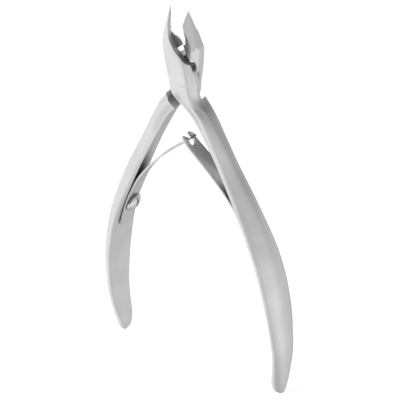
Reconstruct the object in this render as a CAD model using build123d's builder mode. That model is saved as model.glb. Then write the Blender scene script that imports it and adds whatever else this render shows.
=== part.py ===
"""Cuticle nipper with a half-lap joint, double leaf springs and half-jaw blades.

Upright: +Z towards the jaw tips, X across the handles, the pivot axis along Y.
The origin is the centre of the pivot. The rest position is open.
"""
from build123d import *
import math
import os

os.makedirs("parts", exist_ok=True)

# ---- driving dimensions, mm ----
HALF_CLOSE = 7.85          # degrees that each lever turns from open to closed
TIP = (-2.54, -0.77, 18.3)  # left jaw's point, open
HEEL = (-1.98, -3.25, 14.5)  # lower end of the left jaw's cutting edge, open
JAW_CORNER = (-5.3, -0.8, 10.3)  # outer corner where the left jaw starts to narrow
RIDGE_POINT = (4.6, -3.1, 9.8)   # the jaw's outer side passes through its point and these two
FLANK_POINT = (5.45, 0.65, 9.2)
JAW_WIDE = 9.0             # cutting outlines end outside the jaws, this far from the pivot
JAW_CLEAR = 24.5           # and above them at this height
CUT_OUT = 6.0              # cutting depth, more than half the thickness
LAP_GAP = 0.04             # clearance between the two lap faces
RIVET_R = 1.5
RIVET_HEAD_R = 2.3
RIVET_SINK_TOP = 2.9       # the heads' cones run between these two distances from the lap plane
RIVET_SINK_END = 2.1
RUNNING_GAP = 0.03         # radial, rivet in the rear lever
SPRING_THICK = 0.5
SPRING_SPAN = 40.0         # more than a leaf reaches to one side
LEAF_BLANK = 4.0           # half width of the strip before its outline is cut
SEAT_GAP = 0.15            # spring leaf to handle flat
SCREW_Z = -43.6
SCREW_HEAD_R = 2.6
SCREW_HEAD_H = 1.45
SCREW_SHANK_R = 1.1
SCREW_DEPTH = 2.6          # thread length in the handle

# Horizontal sections of the front lever, from the handle end to the jaw. Roundness 1 is an
# elliptical crown, 0 is a ridge with two facets.
# height, inner x, outer x, half thickness, front ridge x, rear ridge x, half thickness at the
# inner edge front and back, at the outer edge front and back, roundness
SECTIONS = [
    (-90.0, 24.8, 27.0, 1.5, 25.2, 25.2, 1.40, 1.40, 0.70, 0.70, 1),
    (-86.3, 24.5, 27.9, 2.5, 25.1, 25.1, 2.30, 2.30, 1.00, 1.00, 1),
    (-80.5, 25.3, 28.7, 3.4, 25.8, 25.8, 3.15, 3.15, 1.30, 1.30, 1),
    (-74.2, 25.7, 29.1, 4.05, 26.2, 26.2, 3.80, 3.80, 1.60, 1.60, 1),
    (-60.3, 24.3, 28.1, 4.9, 24.9, 24.9, 4.60, 4.60, 1.90, 1.90, 1),
    (-46.4, 20.9, 25.2, 4.65, 21.6, 21.6, 4.35, 4.35, 1.80, 1.80, 1),
    (-32.4, 15.0, 19.7, 3.45, 15.8, 15.8, 3.25, 3.25, 1.40, 1.40, 0.9),
    (-21.3, 9.6, 13.9, 2.8, 11.0, 11.0, 2.50, 2.65, 1.20, 1.20, 0.6),
    (-15.0, 6.2, 10.7, 2.9, 8.6, 8.6, 2.35, 2.65, 1.20, 1.20, 0.3),
    (-11.0, 3.8, 8.5, 2.98, 6.9, 6.9, 2.20, 2.55, 1.20, 1.25, 0.1),
    (-8.6, 1.9, 7.1, 3.0, 5.4, 5.3, 2.15, 2.45, 1.20, 1.50, 0),
    (-6.6, -1.0, 5.5, 3.0, 4.1, 3.4, 2.00, 2.40, 1.20, 1.80, 0),
    (-4.5, -3.2, 4.3, 3.0, 3.2, 1.2, 1.65, 2.20, 1.30, 1.80, 0),
    (-2.0, -3.7, 4.05, 3.0, 2.5, -1.2, 1.45, 1.90, 1.35, 1.60, 0),
    (1.0, -4.3, 4.3, 3.05, 2.0, -2.6, 1.35, 1.55, 1.40, 1.50, 0),
    (4.0, -4.8, 4.5, 3.15, 1.5, -3.6, 1.25, 1.30, 1.40, 1.50, 0),
    (7.0, -5.2, 4.6, 3.25, -0.6, -4.1, 1.15, 1.10, 1.50, 1.50, 0),
    (10.0, -5.4, 4.6, 3.3, -2.0, -4.3, 1.05, 0.90, 1.50, 1.50, 0),
    (14.5, -5.4, 4.6, 3.3, -2.2, -4.2, 1.05, 0.90, 1.50, 1.50, 0),
    (19.6, -5.4, 4.6, 3.3, -2.3, -4.1, 1.05, 0.90, 1.50, 1.50, 0),
]
SECTION_COUNT = 36
END_RADIUS = 0.6
END_ROUND = 2.1            # the handle's end is round, seen from the side

# Throat on the broad face of each lever's lap half, from the blade down to the lap (x, z)
THROAT = [(-1.0, 24.5), (-1.98, 14.5), (-2.08, 12.2), (-1.99, 10.85), (-1.7, 10.0), (-1.29, 9.2),
          (-0.55, 7.8), (0.15, 7.1), (1.16, 6.0), (1.7, 5.4), (2.35, 5.07), (3.0, 4.94)]
THROAT_LEAN = (-0.4, 1, -0.25)   # the throat runs back along this direction
THROAT_Y = 3.0             # the throat's outline lies this far in front of the lap plane
FRONT_OUT = -5.0           # cutting starts in front of the jaws, at this y
# Side of the lap under the throat (x, z)
LAP_SIDE = [(2.3, 4.8), (3.25, 4.6), (3.5, 3.6), (3.75, 2.4), (4.0, 0.8), (4.05, -0.5), (4.05, -3.0),
            (5.0, -3.3)]
# Other half: underside of the toe, then the shoulder beside the other lever's lap (x, z)
SHOULDER = [(0.6, 8.9), (-0.5, 8.0), (-2.2, 6.5), (-3.95, 6.0), (-4.5, 5.75), (-4.6, 4.5),
            (-4.55, 2.4), (-4.4, -0.3), (-4.4, -2.9)]
# Handle shoulder below the lap, from the outer to the inner side (x, z)
HANDLE_SHOULDER = [(6.0, -4.5), (4.4, -5.6), (3.3, -6.6), (2.1, -8.3), (1.2, -9.6)]
# Hollow above the toe at the lap plane (x, z), left jaw, running back like the throat
LEFT_HOLLOW = [(-2.2, 23.75), (-3.18, 13.75), (-3.4, 11.45), (-2.64, 10.4), (-1.69, 9.6), (-0.85, 9.2),
               (0.0, 8.7), (0.3, 5.0)]
# and right jaw, seen from behind, a broad bevel
RIGHT_HOLLOW = [(3.9, 17.5), (2.55, 14.5), (1.7, 13.2), (0.9, 12.1), (0.3, 10.9), (0.15, 10.0),
                (0.25, 8.1), (0.55, 6.15), (1.0, 5.0)]
LEFT_HOLLOW_LEAN = (-0.95, 1, -0.3)
RIGHT_HOLLOW_LEAN = (-1.5, 1, 0)
JAW_BACK = [(-0.6, 18.4), (3.0, 10.5)]   # back of the jaws, side profile (y, z)
BACK_LEAN = 0.9            # the jaw's flank turns to the back at this slope in plan
# Cutting edge side of the right jaw at the height of its heel (x, z)
RIGHT_EDGE = [(-9.0, 13.2), (2.2, 13.2), (1.98, 14.5), (1.0, 24.5), (-9.0, 24.5)]
TOE_TOP = 8.3              # the right jaw stops at the closing plane above this height
# Plan curve of the right-hand leaf's middle, from its fixed end to its free end (x, z)
LEAF = [(22.0, -51.4), (21.55, -50.0), (19.47, -43.6), (17.0, -37.9), (15.25, -34.4), (11.1, -28.7),
        (5.3, -22.8)]
FORK_END = [(1.8, -19.5), (0.7, -18.2), (-0.1, -16.7), (-0.6, -15.2)]
TONGUE_END = [(0.4, -18.7), (-0.8, -17.6), (-2.2, -16.4)]
SLOT_HALF = 0.62
HOLE_Z, HOLE_R = -18.5, 0.95
# Half widths of each leaf (y, z), then the outline of its free end
FORK_WIDTHS = [(2.3, -51.0), (2.9, -50.2), (2.9, -40.0), (2.5, -30.0), (2.2, -20.5)]
FORK_TOP = [(-2.2, -17.0), (-1.9, -16.4), (-1.4, -16.6), (-SLOT_HALF, -17.3), (-SLOT_HALF, HOLE_Z),
            (SLOT_HALF, HOLE_Z), (SLOT_HALF, -17.5), (0.1, -17.2), (0.1, -16.75), (1.1, -16.6), (1.9, -17.2)]
TONGUE_WIDTHS = [(2.3, -51.0), (2.9, -50.2), (2.9, -40.0), (2.4, -33.0), (1.4, -24.0)]
TONGUE_TOP = [(-0.45, -19.6), (-0.45, -17.45), (-1.05, -17.4), (-1.05, -16.85),
              (1.05, -16.85), (1.05, -17.4), (0.45, -17.45), (0.45, -19.6)]


def section_at(z):
    """The section's dimensions at a height, on a smooth curve through the rows of SECTIONS."""
    i = max(1, min(len(SECTIONS) - 1, sum(1 for row in SECTIONS if row[0] < z)))
    low, high = SECTIONS[i - 1], SECTIONS[i]
    before, after = SECTIONS[max(i - 2, 0)], SECTIONS[min(i + 1, len(SECTIONS) - 1)]
    step = high[0] - low[0]
    t = (z - low[0]) / step
    values = [z]
    for k in range(1, len(low)):
        start = (high[k] - before[k]) / (high[0] - before[0]) * step
        end = (after[k] - low[k]) / (after[0] - low[0]) * step
        values.append(low[k] * (1 + 2 * t) * (1 - t) ** 2 + start * t * (1 - t) ** 2
                      + high[k] * t * t * (3 - 2 * t) - end * t * t * (1 - t))
    return values


def between(a, b, share):
    return (a[0] + (b[0] - a[0]) * share, a[1] + (b[1] - a[1]) * share)


def half_crown(x_in, x_out, half, ridge, inner, outer, rounding):
    """Points over one broad face, from the inner edge across the ridge to the outer edge."""
    first, top, last = (x_in, inner), (ridge, half), (x_out, outer)
    arc = [(ridge + (x_out - ridge) * math.sin(a), half * math.cos(a)) for a in (0.2, 0.70, 1.28)]
    top = between(top, between(first, last, 0.5), 0.05 * (1 - rounding))
    facet = [between(top, last, 0.15), between(top, last, 0.5), (x_out - 0.12, outer)]
    return ([first, between(first, top, 0.45), between(first, top, 0.85)]
            + [between(flat, crown, rounding) for flat, crown in zip(facet, arc)])


with BuildPart() as blank:
    bottom, rise = SECTIONS[0][0], SECTIONS[-1][0] - SECTIONS[0][0]
    for step in range(SECTION_COUNT + 1):
        z, x_in, x_out, half, ridge_f, ridge_r, in_f, in_r, out_f, out_r, rounding = section_at(
            bottom + rise * step / SECTION_COUNT)
        front_side = half_crown(x_in, x_out, half, ridge_f, in_f, out_f, rounding)
        rear_side = half_crown(x_in, x_out, half, ridge_r, in_r, out_r, rounding)
        with BuildSketch(Plane.XY.offset(z)):
            with BuildLine():
                Spline(*[(x, -y) for x, y in front_side], (x_out, (out_r - out_f) / 2), *rear_side[::-1])
                Line((x_in, in_r), (x_in, -in_f))
            make_face()
    loft()
    fillet(blank.faces().sort_by(Axis.Z)[0].edges(), END_RADIUS)
    with BuildSketch(Plane.YZ):
        with Locations((0, bottom)):
            Rectangle(JAW_WIDE, 2 * END_ROUND)
        with Locations((0, bottom + END_ROUND)):
            Circle(END_ROUND, mode=Mode.SUBTRACT)
    extrude(amount=SPRING_SPAN, both=True, mode=Mode.SUBTRACT)


def outline_at(points, y):
    """A closed outline in the plane of constant y, looked at from the front."""
    with BuildSketch(Plane((0, y, 0), x_dir=(1, 0, 0), z_dir=(0, -1, 0))) as shape:
        with BuildLine():
            Polyline(*points, close=True)
        make_face()
    return shape.sketch.face()


def sweep_cut(points, y, direction, depth):
    """Remove the prism that an outline in the plane of constant y makes along a direction."""
    way = Vector(*direction)
    extrude(outline_at(points, y), amount=depth * way.length / abs(way.Y), dir=way, mode=Mode.SUBTRACT)


def shifted(points, direction, dy):
    return [(x + direction[0] * dy, z + direction[2] * dy) for x, z in points]


def rivet_shape(gap):
    """The pin with a countersunk head at each end, longer than the joint is thick."""
    with BuildPart() as pin:
        with BuildSketch(Plane.XY):
            with BuildLine():
                front = [(0, FRONT_OUT), (RIVET_HEAD_R + gap, FRONT_OUT),
                         (RIVET_HEAD_R + gap, -RIVET_SINK_TOP), (RIVET_R + gap, -RIVET_SINK_END)]
                Polyline(*front, *[(x, -y) for x, y in front[::-1]], close=True)
            make_face()
        revolve(axis=Axis.Y)
    return pin.part


def screw_frame(side):
    """At the handle's inner flat, x axis along the screw towards its head; side 1 is the right."""
    low, high = section_at(SCREW_Z - 2), section_at(SCREW_Z + 2)
    along = Vector(side * (high[1] - low[1]), 0, 4).normalized()
    out = Vector(-side * along.Z, 0, side * along.X)
    return Plane((side * section_at(SCREW_Z)[1], 0, SCREW_Z), x_dir=along, z_dir=out)


def lever(side, hollow, hollow_lean):
    """A lever with its lap in front (side 1) or behind (side -1), jaw on the left or right."""
    lap = LAP_GAP / 2
    with BuildPart() as made:
        add(blank.part)
        throat = shifted(THROAT, THROAT_LEAN, FRONT_OUT + THROAT_Y)
        sweep_cut(throat + [(JAW_WIDE, 5.0), (JAW_WIDE, JAW_CLEAR)], FRONT_OUT, THROAT_LEAN, lap - FRONT_OUT)
        sweep_cut(LAP_SIDE + [(JAW_WIDE, -3.5), (JAW_WIDE, 9.0), (2.1, 9.0)], FRONT_OUT, (0, 1, 0),
                  lap - FRONT_OUT)
        sweep_cut([(JAW_WIDE, 8.9)] + SHOULDER + [(-JAW_WIDE, -3.2), (-JAW_WIDE, -9.6)]
                  + HANDLE_SHOULDER[::-1] + [(JAW_WIDE, -4.5)], -lap, (0, 1, 0), CUT_OUT)
        sweep_cut(hollow + [(JAW_WIDE, 5.0), (JAW_WIDE, hollow[0][1])], -lap, hollow_lean, CUT_OUT)
    with BuildPart() as ground:
        add(made.part.solids().sort_by(SortBy.VOLUME)[-1].rotate(Axis.Z, 0 if side > 0 else 180))
        tip, heel, corner = (Vector(-side * abs(p[0]), p[1], p[2]) for p in (TIP, HEEL, JAW_CORNER))
        bevel = (heel - tip).cross(corner - tip).normalized()
        if bevel.Y > 0:
            bevel = -bevel
        split(bisect_by=Plane(tip, z_dir=bevel), keep=Keep.BOTTOM)
        rise = Vector(0, JAW_BACK[0][1] - JAW_BACK[1][1], JAW_BACK[1][0] - JAW_BACK[0][0])
        split(bisect_by=Plane((0, *JAW_BACK[0]), z_dir=rise), keep=Keep.BOTTOM)
        ridge, flank = (Vector(-side * p[0], p[1], p[2]) for p in (RIDGE_POINT, FLANK_POINT))
        outer = (ridge - tip).cross(flank - tip)
        split(bisect_by=Plane(tip, z_dir=outer * -side), keep=Keep.BOTTOM)
        behind = (flank - tip).cross(Vector(side * BACK_LEAN, 1, 0))
        split(bisect_by=Plane(tip, z_dir=behind * -side), keep=Keep.BOTTOM)
        if side < 0:
            back = (-THROAT_LEAN[0], 1, THROAT_LEAN[2])
            sweep_cut(shifted(RIGHT_EDGE, back, FRONT_OUT - HEEL[1]), FRONT_OUT, back, -2 * FRONT_OUT)
            slope = math.tan(math.radians(HALF_CLOSE))
            closing = [(slope * z, z) for z in (TOE_TOP, JAW_CLEAR)]
            sweep_cut(closing + [(-JAW_WIDE, JAW_CLEAR), (-JAW_WIDE, TOE_TOP)], FRONT_OUT, (0, 1, 0),
                      lap - FRONT_OUT)
        add(rivet_shape(0 if side > 0 else RUNNING_GAP), mode=Mode.SUBTRACT)
        with BuildSketch(screw_frame(side)):
            Circle(SCREW_SHANK_R + 0.01)
        extrude(amount=-SCREW_DEPTH - 0.2, mode=Mode.SUBTRACT)
    return ground


def outline_from_side(points):
    """A closed outline in y and z, looked at from the side."""
    with BuildSketch(Plane.YZ) as shape:
        with BuildLine():
            Polyline(*points, close=True)
        make_face()
    return shape.sketch.face()


def leaf(side, end, widths, top, hole):
    """A flat spring on the inside of one handle, with its width up to the outline of its free end."""
    with BuildPart() as spring:
        with BuildSketch(Plane.XZ):
            with BuildLine():
                Spline(*[(side * x, z) for x, z in LEAF + end])
            trace(line_width=SPRING_THICK)
        extrude(amount=LEAF_BLANK, both=True)
        left = [(-y, z) for y, z in widths]
        extrude(outline_from_side(left + top + widths[::-1]), amount=SPRING_SPAN, both=True,
                mode=Mode.INTERSECT)
        with BuildSketch(screw_frame(side)):
            Circle(SCREW_SHANK_R + SEAT_GAP)
        extrude(amount=LEAF_BLANK, mode=Mode.SUBTRACT)
        if hole:
            with BuildSketch(Plane.YZ):
                with Locations((0, HOLE_Z)):
                    Circle(HOLE_R)
            extrude(amount=CUT_OUT, both=True, mode=Mode.SUBTRACT)
    return spring


def screw(side):
    """Slotted pan-head screw that holds one leaf to its handle."""
    seat = SEAT_GAP + SPRING_THICK + 0.2
    with BuildPart() as made:
        with BuildSketch(Plane.XZ):
            with BuildLine():
                Line((0, -SCREW_DEPTH), (SCREW_SHANK_R, -SCREW_DEPTH))
                Line((SCREW_SHANK_R, -SCREW_DEPTH), (SCREW_SHANK_R, seat))
                Line((SCREW_SHANK_R, seat), (SCREW_HEAD_R, seat))
                Line((SCREW_HEAD_R, seat), (SCREW_HEAD_R, seat + 0.55))
                ThreePointArc((SCREW_HEAD_R, seat + 0.55), (SCREW_HEAD_R * 0.72, seat + 1.15),
                              (0, seat + SCREW_HEAD_H))
                Line((0, seat + SCREW_HEAD_H), (0, -SCREW_DEPTH))
            make_face()
        revolve(axis=Axis.Z)
        with Locations((0, 0, seat + SCREW_HEAD_H)):
            Box(2 * SCREW_HEAD_R + 1, 0.6, 1.2, mode=Mode.SUBTRACT)
    return made.part.moved(screw_frame(side).location)


front_lever = lever(1, LEFT_HOLLOW, LEFT_HOLLOW_LEAN)
rear_lever = lever(-1, RIGHT_HOLLOW, RIGHT_HOLLOW_LEAN)

with BuildPart() as pivot_rivet:
    add(rivet_shape(0) & blank.part)
    split(bisect_by=Plane.XZ, keep=Keep.TOP)
    with BuildPart(mode=Mode.PRIVATE) as rear_half:
        add(rivet_shape(0) & blank.part.rotate(Axis.Z, 180))
        split(bisect_by=Plane.XZ, keep=Keep.BOTTOM)
    add(rear_half.part)

right_spring = leaf(1, FORK_END, FORK_WIDTHS, FORK_TOP, True)
left_spring = leaf(-1, TONGUE_END, TONGUE_WIDTHS, TONGUE_TOP, False)

pieces = {
    "front_lever": front_lever.part,
    "rear_lever": rear_lever.part,
    "pivot_rivet": pivot_rivet.part,
    "left_spring": left_spring.part,
    "right_spring": right_spring.part,
    "left_spring_screw": screw(-1),
    "right_spring_screw": screw(1),
}
for name, piece in pieces.items():
    piece.label = name
    export_step(piece, f"parts/{name}.step")
    print(name, round(piece.volume, 2), len(piece.solids()), piece.is_valid)
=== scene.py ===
"""Looks of the cuticle nipper: satin ground steel levers, spring steel leaves and polished screws."""

import math

import bpy
from mathutils import Matrix, Vector


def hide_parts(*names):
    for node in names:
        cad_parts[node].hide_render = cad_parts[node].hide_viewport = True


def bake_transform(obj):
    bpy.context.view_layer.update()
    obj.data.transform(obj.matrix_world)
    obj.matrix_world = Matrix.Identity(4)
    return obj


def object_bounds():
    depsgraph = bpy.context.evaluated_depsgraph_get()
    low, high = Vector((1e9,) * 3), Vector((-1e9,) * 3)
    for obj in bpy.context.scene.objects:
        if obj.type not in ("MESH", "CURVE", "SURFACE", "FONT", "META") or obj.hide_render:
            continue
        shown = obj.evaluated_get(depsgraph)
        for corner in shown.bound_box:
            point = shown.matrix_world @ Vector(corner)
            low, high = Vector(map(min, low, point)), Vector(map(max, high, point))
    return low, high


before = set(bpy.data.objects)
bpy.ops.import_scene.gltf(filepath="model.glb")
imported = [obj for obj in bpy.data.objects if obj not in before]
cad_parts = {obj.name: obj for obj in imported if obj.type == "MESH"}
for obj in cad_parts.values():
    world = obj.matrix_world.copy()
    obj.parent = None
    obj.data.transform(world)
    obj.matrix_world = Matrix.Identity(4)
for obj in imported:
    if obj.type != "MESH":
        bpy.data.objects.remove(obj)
cad_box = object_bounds()

MM = 0.001
UP = Vector((0.0, 0.0, 1.0))

# Camera: place and clipping in metres, lens and sensor in mm
TARGET = Vector((2.64, 0.0, -35.71)) * MM
VIEW_SIDE = Vector((0.473, -0.669, 0.574)).normalized()
CAMERA_DISTANCE = 355.3 * MM
CAMERA_ROLL = math.radians(2.85)
LENS = 126.0
SENSOR = 36.0
CLIP_NEAR = 0.01
CLIP_FAR = 100.0

# Soft blotches in the steel: scale and detail of the noise, where its ramp runs, its darker end
BLOTCH_SCALE = 160.0
BLOTCH_DETAIL = 3.0
BLOTCH_RAMP = (0.3, 0.7)
BLOTCH_DARK = 0.94

# Painted shade in crevices: reach in metres, and how open a place is where the painted shade is
# darkest and where it is gone
CREVICE_REACH = 0.0025
CREVICE_OPEN = (0.15, 0.85)
CREVICE_SAMPLES = 8

# Grinding lines, longest along the height, and how far they spread the roughness
GRIND_SCALE = (9000.0, 9000.0, 900.0)
GRIND_DETAIL = 2.0
GRIND_DEPTH = 0.00002
GRIND_SPREAD = 0.06

# Radius that sharp edges are shaded with, in metres
EDGE_ROUND = 0.00012
EDGE_SAMPLES = 4

# Leaf springs, each with its handle and side, and the pieces that don't bend
LEAVES = (("left_spring", "rear_lever", -1), ("right_spring", "front_lever", 1))
LEVER_NODES = ("front_lever", "rear_lever", "pivot_rivet")
SCREW_NODES = ("left_spring_screw", "right_spring_screw")

# Floor: a matt white table, in metres, with a glow of its own that keeps it white
FLOOR_SIZE = 40.0
FLOOR_DROP = 0.0004
FLOOR_SHADE = 0.9
FLOOR_ROUGHNESS = 0.9
FLOOR_GLOW = 0.8

# Surround: levels of the table below and the room above, and the heights the change spans
TABLE_LEVEL = 0.3
ROOM_LEVEL = 0.08
HORIZON = (-0.3, 0.1)
# Its soft lights: direction, where each starts and is full (cosines), level
SOFTBOXES = (
    ((-0.95, -0.2, -0.25), (0.2, 0.8), 0.54),
    ((0.75, -0.6, -0.2), (0.3, 1.0), 0.42),
    ((0.65, 0.6, -0.35), (0.3, 0.95), 0.28),
)
SURROUND_STRENGTH = 1.15

# Key light, in metres and watts
KEY_PLACE = Vector((-0.6, -0.5, 0.7))
KEY_AIM = Vector((0.0, 0.0, -0.035))
KEY_SIZE = 0.8
KEY_POWER = 3.0


def link_new(name, data):
    """A new object in the scene."""
    made = bpy.data.objects.new(name, data)
    bpy.context.scene.collection.objects.link(made)
    return made


def grey(level):
    """An opaque grey."""
    return (level, level, level, 1.0)


def place_camera():
    """The camera looks from the right front and above, with the picture rolled a little."""
    data = bpy.data.cameras.new("camera")
    data.lens = LENS
    data.sensor_width = SENSOR
    data.clip_start = CLIP_NEAR
    data.clip_end = CLIP_FAR
    camera = link_new("camera", data)
    right = UP.cross(VIEW_SIDE).normalized()
    up = VIEW_SIDE.cross(right)
    turn = Matrix((right, up, VIEW_SIDE)).transposed()
    turn = turn @ Matrix.Rotation(-CAMERA_ROLL, 3, "Z")
    place = Matrix.Translation(TARGET + VIEW_SIDE * CAMERA_DISTANCE)
    camera.matrix_world = place @ turn.to_4x4()
    bpy.context.scene.camera = camera


def place_key_light():
    """One large soft square light, from the upper left and front."""
    data = bpy.data.lights.new("key", "AREA")
    data.shape = "SQUARE"
    data.size = KEY_SIZE
    data.energy = KEY_POWER
    light = link_new("key", data)
    light.location = KEY_PLACE
    light.rotation_euler = (KEY_PLACE - KEY_AIM).to_track_quat("Z", "Y").to_euler()


def place_floor():
    """A pale table just below the handle ends, left out of the steel's reflections."""
    half = FLOOR_SIZE / 2
    corners = [(-half, -half, 0.0), (half, -half, 0.0), (half, half, 0.0), (-half, half, 0.0)]
    mesh = bpy.data.meshes.new("floor")
    mesh.from_pydata(corners, [], [(0, 1, 2, 3)])
    floor = link_new("floor", mesh)
    floor.location = (0.0, 0.0, cad_box[0][2] - FLOOR_DROP)
    floor.visible_glossy = False
    paint = bpy.data.materials.new("floor_paint")
    paint.use_nodes = True
    shader = paint.node_tree.nodes["Principled BSDF"]
    shader.inputs["Base Color"].default_value = grey(FLOOR_SHADE)
    shader.inputs["Roughness"].default_value = FLOOR_ROUGHNESS
    shader.inputs["Emission Color"].default_value = grey(1.0)
    shader.inputs["Emission Strength"].default_value = FLOOR_GLOW
    mesh.materials.append(paint)


def multiply_add(nodes, links, *values):
    """First value times the second, plus the third; each is a number or another node's output."""
    made = nodes.new("ShaderNodeMath")
    made.operation = "MULTIPLY_ADD"
    for socket, value in zip(made.inputs, values):
        if isinstance(value, float):
            socket.default_value = value
        else:
            links.new(value, socket)
    return made.outputs["Value"]


def along(nodes, links, vector, direction):
    """How far a vector goes along a direction."""
    made = nodes.new("ShaderNodeVectorMath")
    made.operation = "DOT_PRODUCT"
    made.inputs[1].default_value = direction
    links.new(vector, made.inputs[0])
    return made.outputs["Value"]


def smooth_range(nodes, links, value, low, high):
    """Rises smoothly from 0 at the low value to 1 at the high one."""
    made = nodes.new("ShaderNodeMapRange")
    made.interpolation_type = "SMOOTHSTEP"
    made.inputs["From Min"].default_value = low
    made.inputs["From Max"].default_value = high
    links.new(value, made.inputs["Value"])
    return made.outputs["Result"]


def grey_ramp(nodes, links, value, positions, levels):
    """A smooth ramp between two greys, each at its position."""
    made = nodes.new("ShaderNodeValToRGB")
    made.color_ramp.interpolation = "EASE"
    for element, position, level in zip(made.color_ramp.elements, positions, levels):
        element.position = position
        element.color = grey(level)
    links.new(value, made.inputs["Fac"])
    return made.outputs["Color"]


def studio_world():
    """A pale table below, a dim room above and soft lights at the left, front right and back."""
    world = bpy.data.worlds.new("studio")
    world.use_nodes = True
    nodes = world.node_tree.nodes
    links = world.node_tree.links
    outward = nodes.new("ShaderNodeTexCoord").outputs["Generated"]
    height = along(nodes, links, outward, UP)
    above = smooth_range(nodes, links, height, *HORIZON)
    level = multiply_add(nodes, links, above, ROOM_LEVEL - TABLE_LEVEL, TABLE_LEVEL)
    for direction, (start, full), gain in SOFTBOXES:
        toward = along(nodes, links, outward, direction)
        glow = smooth_range(nodes, links, toward, start, full)
        level = multiply_add(nodes, links, glow, gain, level)
    background = nodes["Background"]
    links.new(level, background.inputs["Color"])
    background.inputs["Strength"].default_value = SURROUND_STRENGTH
    bpy.context.scene.world = world


def steel(name, shade, roughness, grain, crevice_shade):
    """Ground steel; grain is the strength of its lines, and the last argument the share of its shade
    kept where shade is painted into crevices.
    """
    material = bpy.data.materials.new(name)
    material.use_nodes = True
    nodes = material.node_tree.nodes
    links = material.node_tree.links
    shader = nodes["Principled BSDF"]
    shader.inputs["Metallic"].default_value = 1.0
    place = nodes.new("ShaderNodeTexCoord").outputs["Object"]

    blotch = nodes.new("ShaderNodeTexNoise")
    blotch.inputs["Scale"].default_value = BLOTCH_SCALE
    blotch.inputs["Detail"].default_value = BLOTCH_DETAIL
    links.new(place, blotch.inputs["Vector"])
    levels = (shade * BLOTCH_DARK, shade)
    tint = grey_ramp(nodes, links, blotch.outputs["Fac"], BLOTCH_RAMP, levels)

    # Painted shade: the base colour darkens in crevices, where ambient occlusion finds surfaces close
    # by
    crevice = nodes.new("ShaderNodeAmbientOcclusion")
    crevice.samples = CREVICE_SAMPLES
    crevice.inputs["Distance"].default_value = CREVICE_REACH
    open_share = smooth_range(nodes, links, crevice.outputs["AO"], *CREVICE_OPEN)
    painted_shade = nodes.new("ShaderNodeMix")
    painted_shade.data_type = "RGBA"
    painted_shade.inputs["A"].default_value = grey(shade * crevice_shade)
    links.new(open_share, painted_shade.inputs["Factor"])
    links.new(tint, painted_shade.inputs["B"])
    links.new(painted_shade.outputs["Result"], shader.inputs["Base Color"])

    stretch = nodes.new("ShaderNodeMapping")
    stretch.inputs["Scale"].default_value = GRIND_SCALE
    links.new(place, stretch.inputs["Vector"])
    lines = nodes.new("ShaderNodeTexNoise")
    lines.inputs["Scale"].default_value = 1.0
    lines.inputs["Detail"].default_value = GRIND_DETAIL
    links.new(stretch.outputs["Vector"], lines.inputs["Vector"])
    gloss = nodes.new("ShaderNodeMapRange")
    gloss.inputs["To Min"].default_value = roughness - GRIND_SPREAD
    gloss.inputs["To Max"].default_value = roughness + GRIND_SPREAD
    links.new(lines.outputs["Fac"], gloss.inputs["Value"])
    links.new(gloss.outputs["Result"], shader.inputs["Roughness"])

    edge = nodes.new("ShaderNodeBevel")
    edge.samples = EDGE_SAMPLES
    edge.inputs["Radius"].default_value = EDGE_ROUND
    bump = nodes.new("ShaderNodeBump")
    bump.inputs["Strength"].default_value = grain
    bump.inputs["Distance"].default_value = GRIND_DEPTH
    links.new(lines.outputs["Fac"], bump.inputs["Height"])
    links.new(edge.outputs["Normal"], bump.inputs["Normal"])
    links.new(bump.outputs["Normal"], shader.inputs["Normal"])
    return material


def dress(node, material):
    """Gives one piece that doesn't bend its material."""
    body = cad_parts[node]
    body.data.materials.clear()
    body.data.materials.append(material)


def bending_leaf(node, material):
    """One leaf spring: a copy of its piece in spring steel, put in the piece's place."""
    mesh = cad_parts[node].data.copy()
    mesh.materials.clear()
    mesh.materials.append(material)
    leaf = link_new(node + "_leaf", mesh)
    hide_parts(node)
    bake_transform(leaf)


place_camera()
studio_world()
bpy.context.scene.view_settings.view_transform = "Standard"
place_floor()
place_key_light()

# The last argument of each steel is the share of its shade left where shade is painted into crevices
lever_steel = steel("lever_steel", shade=0.86, roughness=0.38, grain=0.25, crevice_shade=0.62)
spring_steel = steel("spring_steel", shade=0.86, roughness=0.34, grain=0.2, crevice_shade=0.7)
screw_steel = steel("screw_steel", shade=0.9, roughness=0.28, grain=0.15, crevice_shade=0.65)
for node in LEVER_NODES:
    dress(node, lever_steel)
for node, handle, side in LEAVES:
    bending_leaf(node, spring_steel)
for node in SCREW_NODES:
    dress(node, screw_steel)
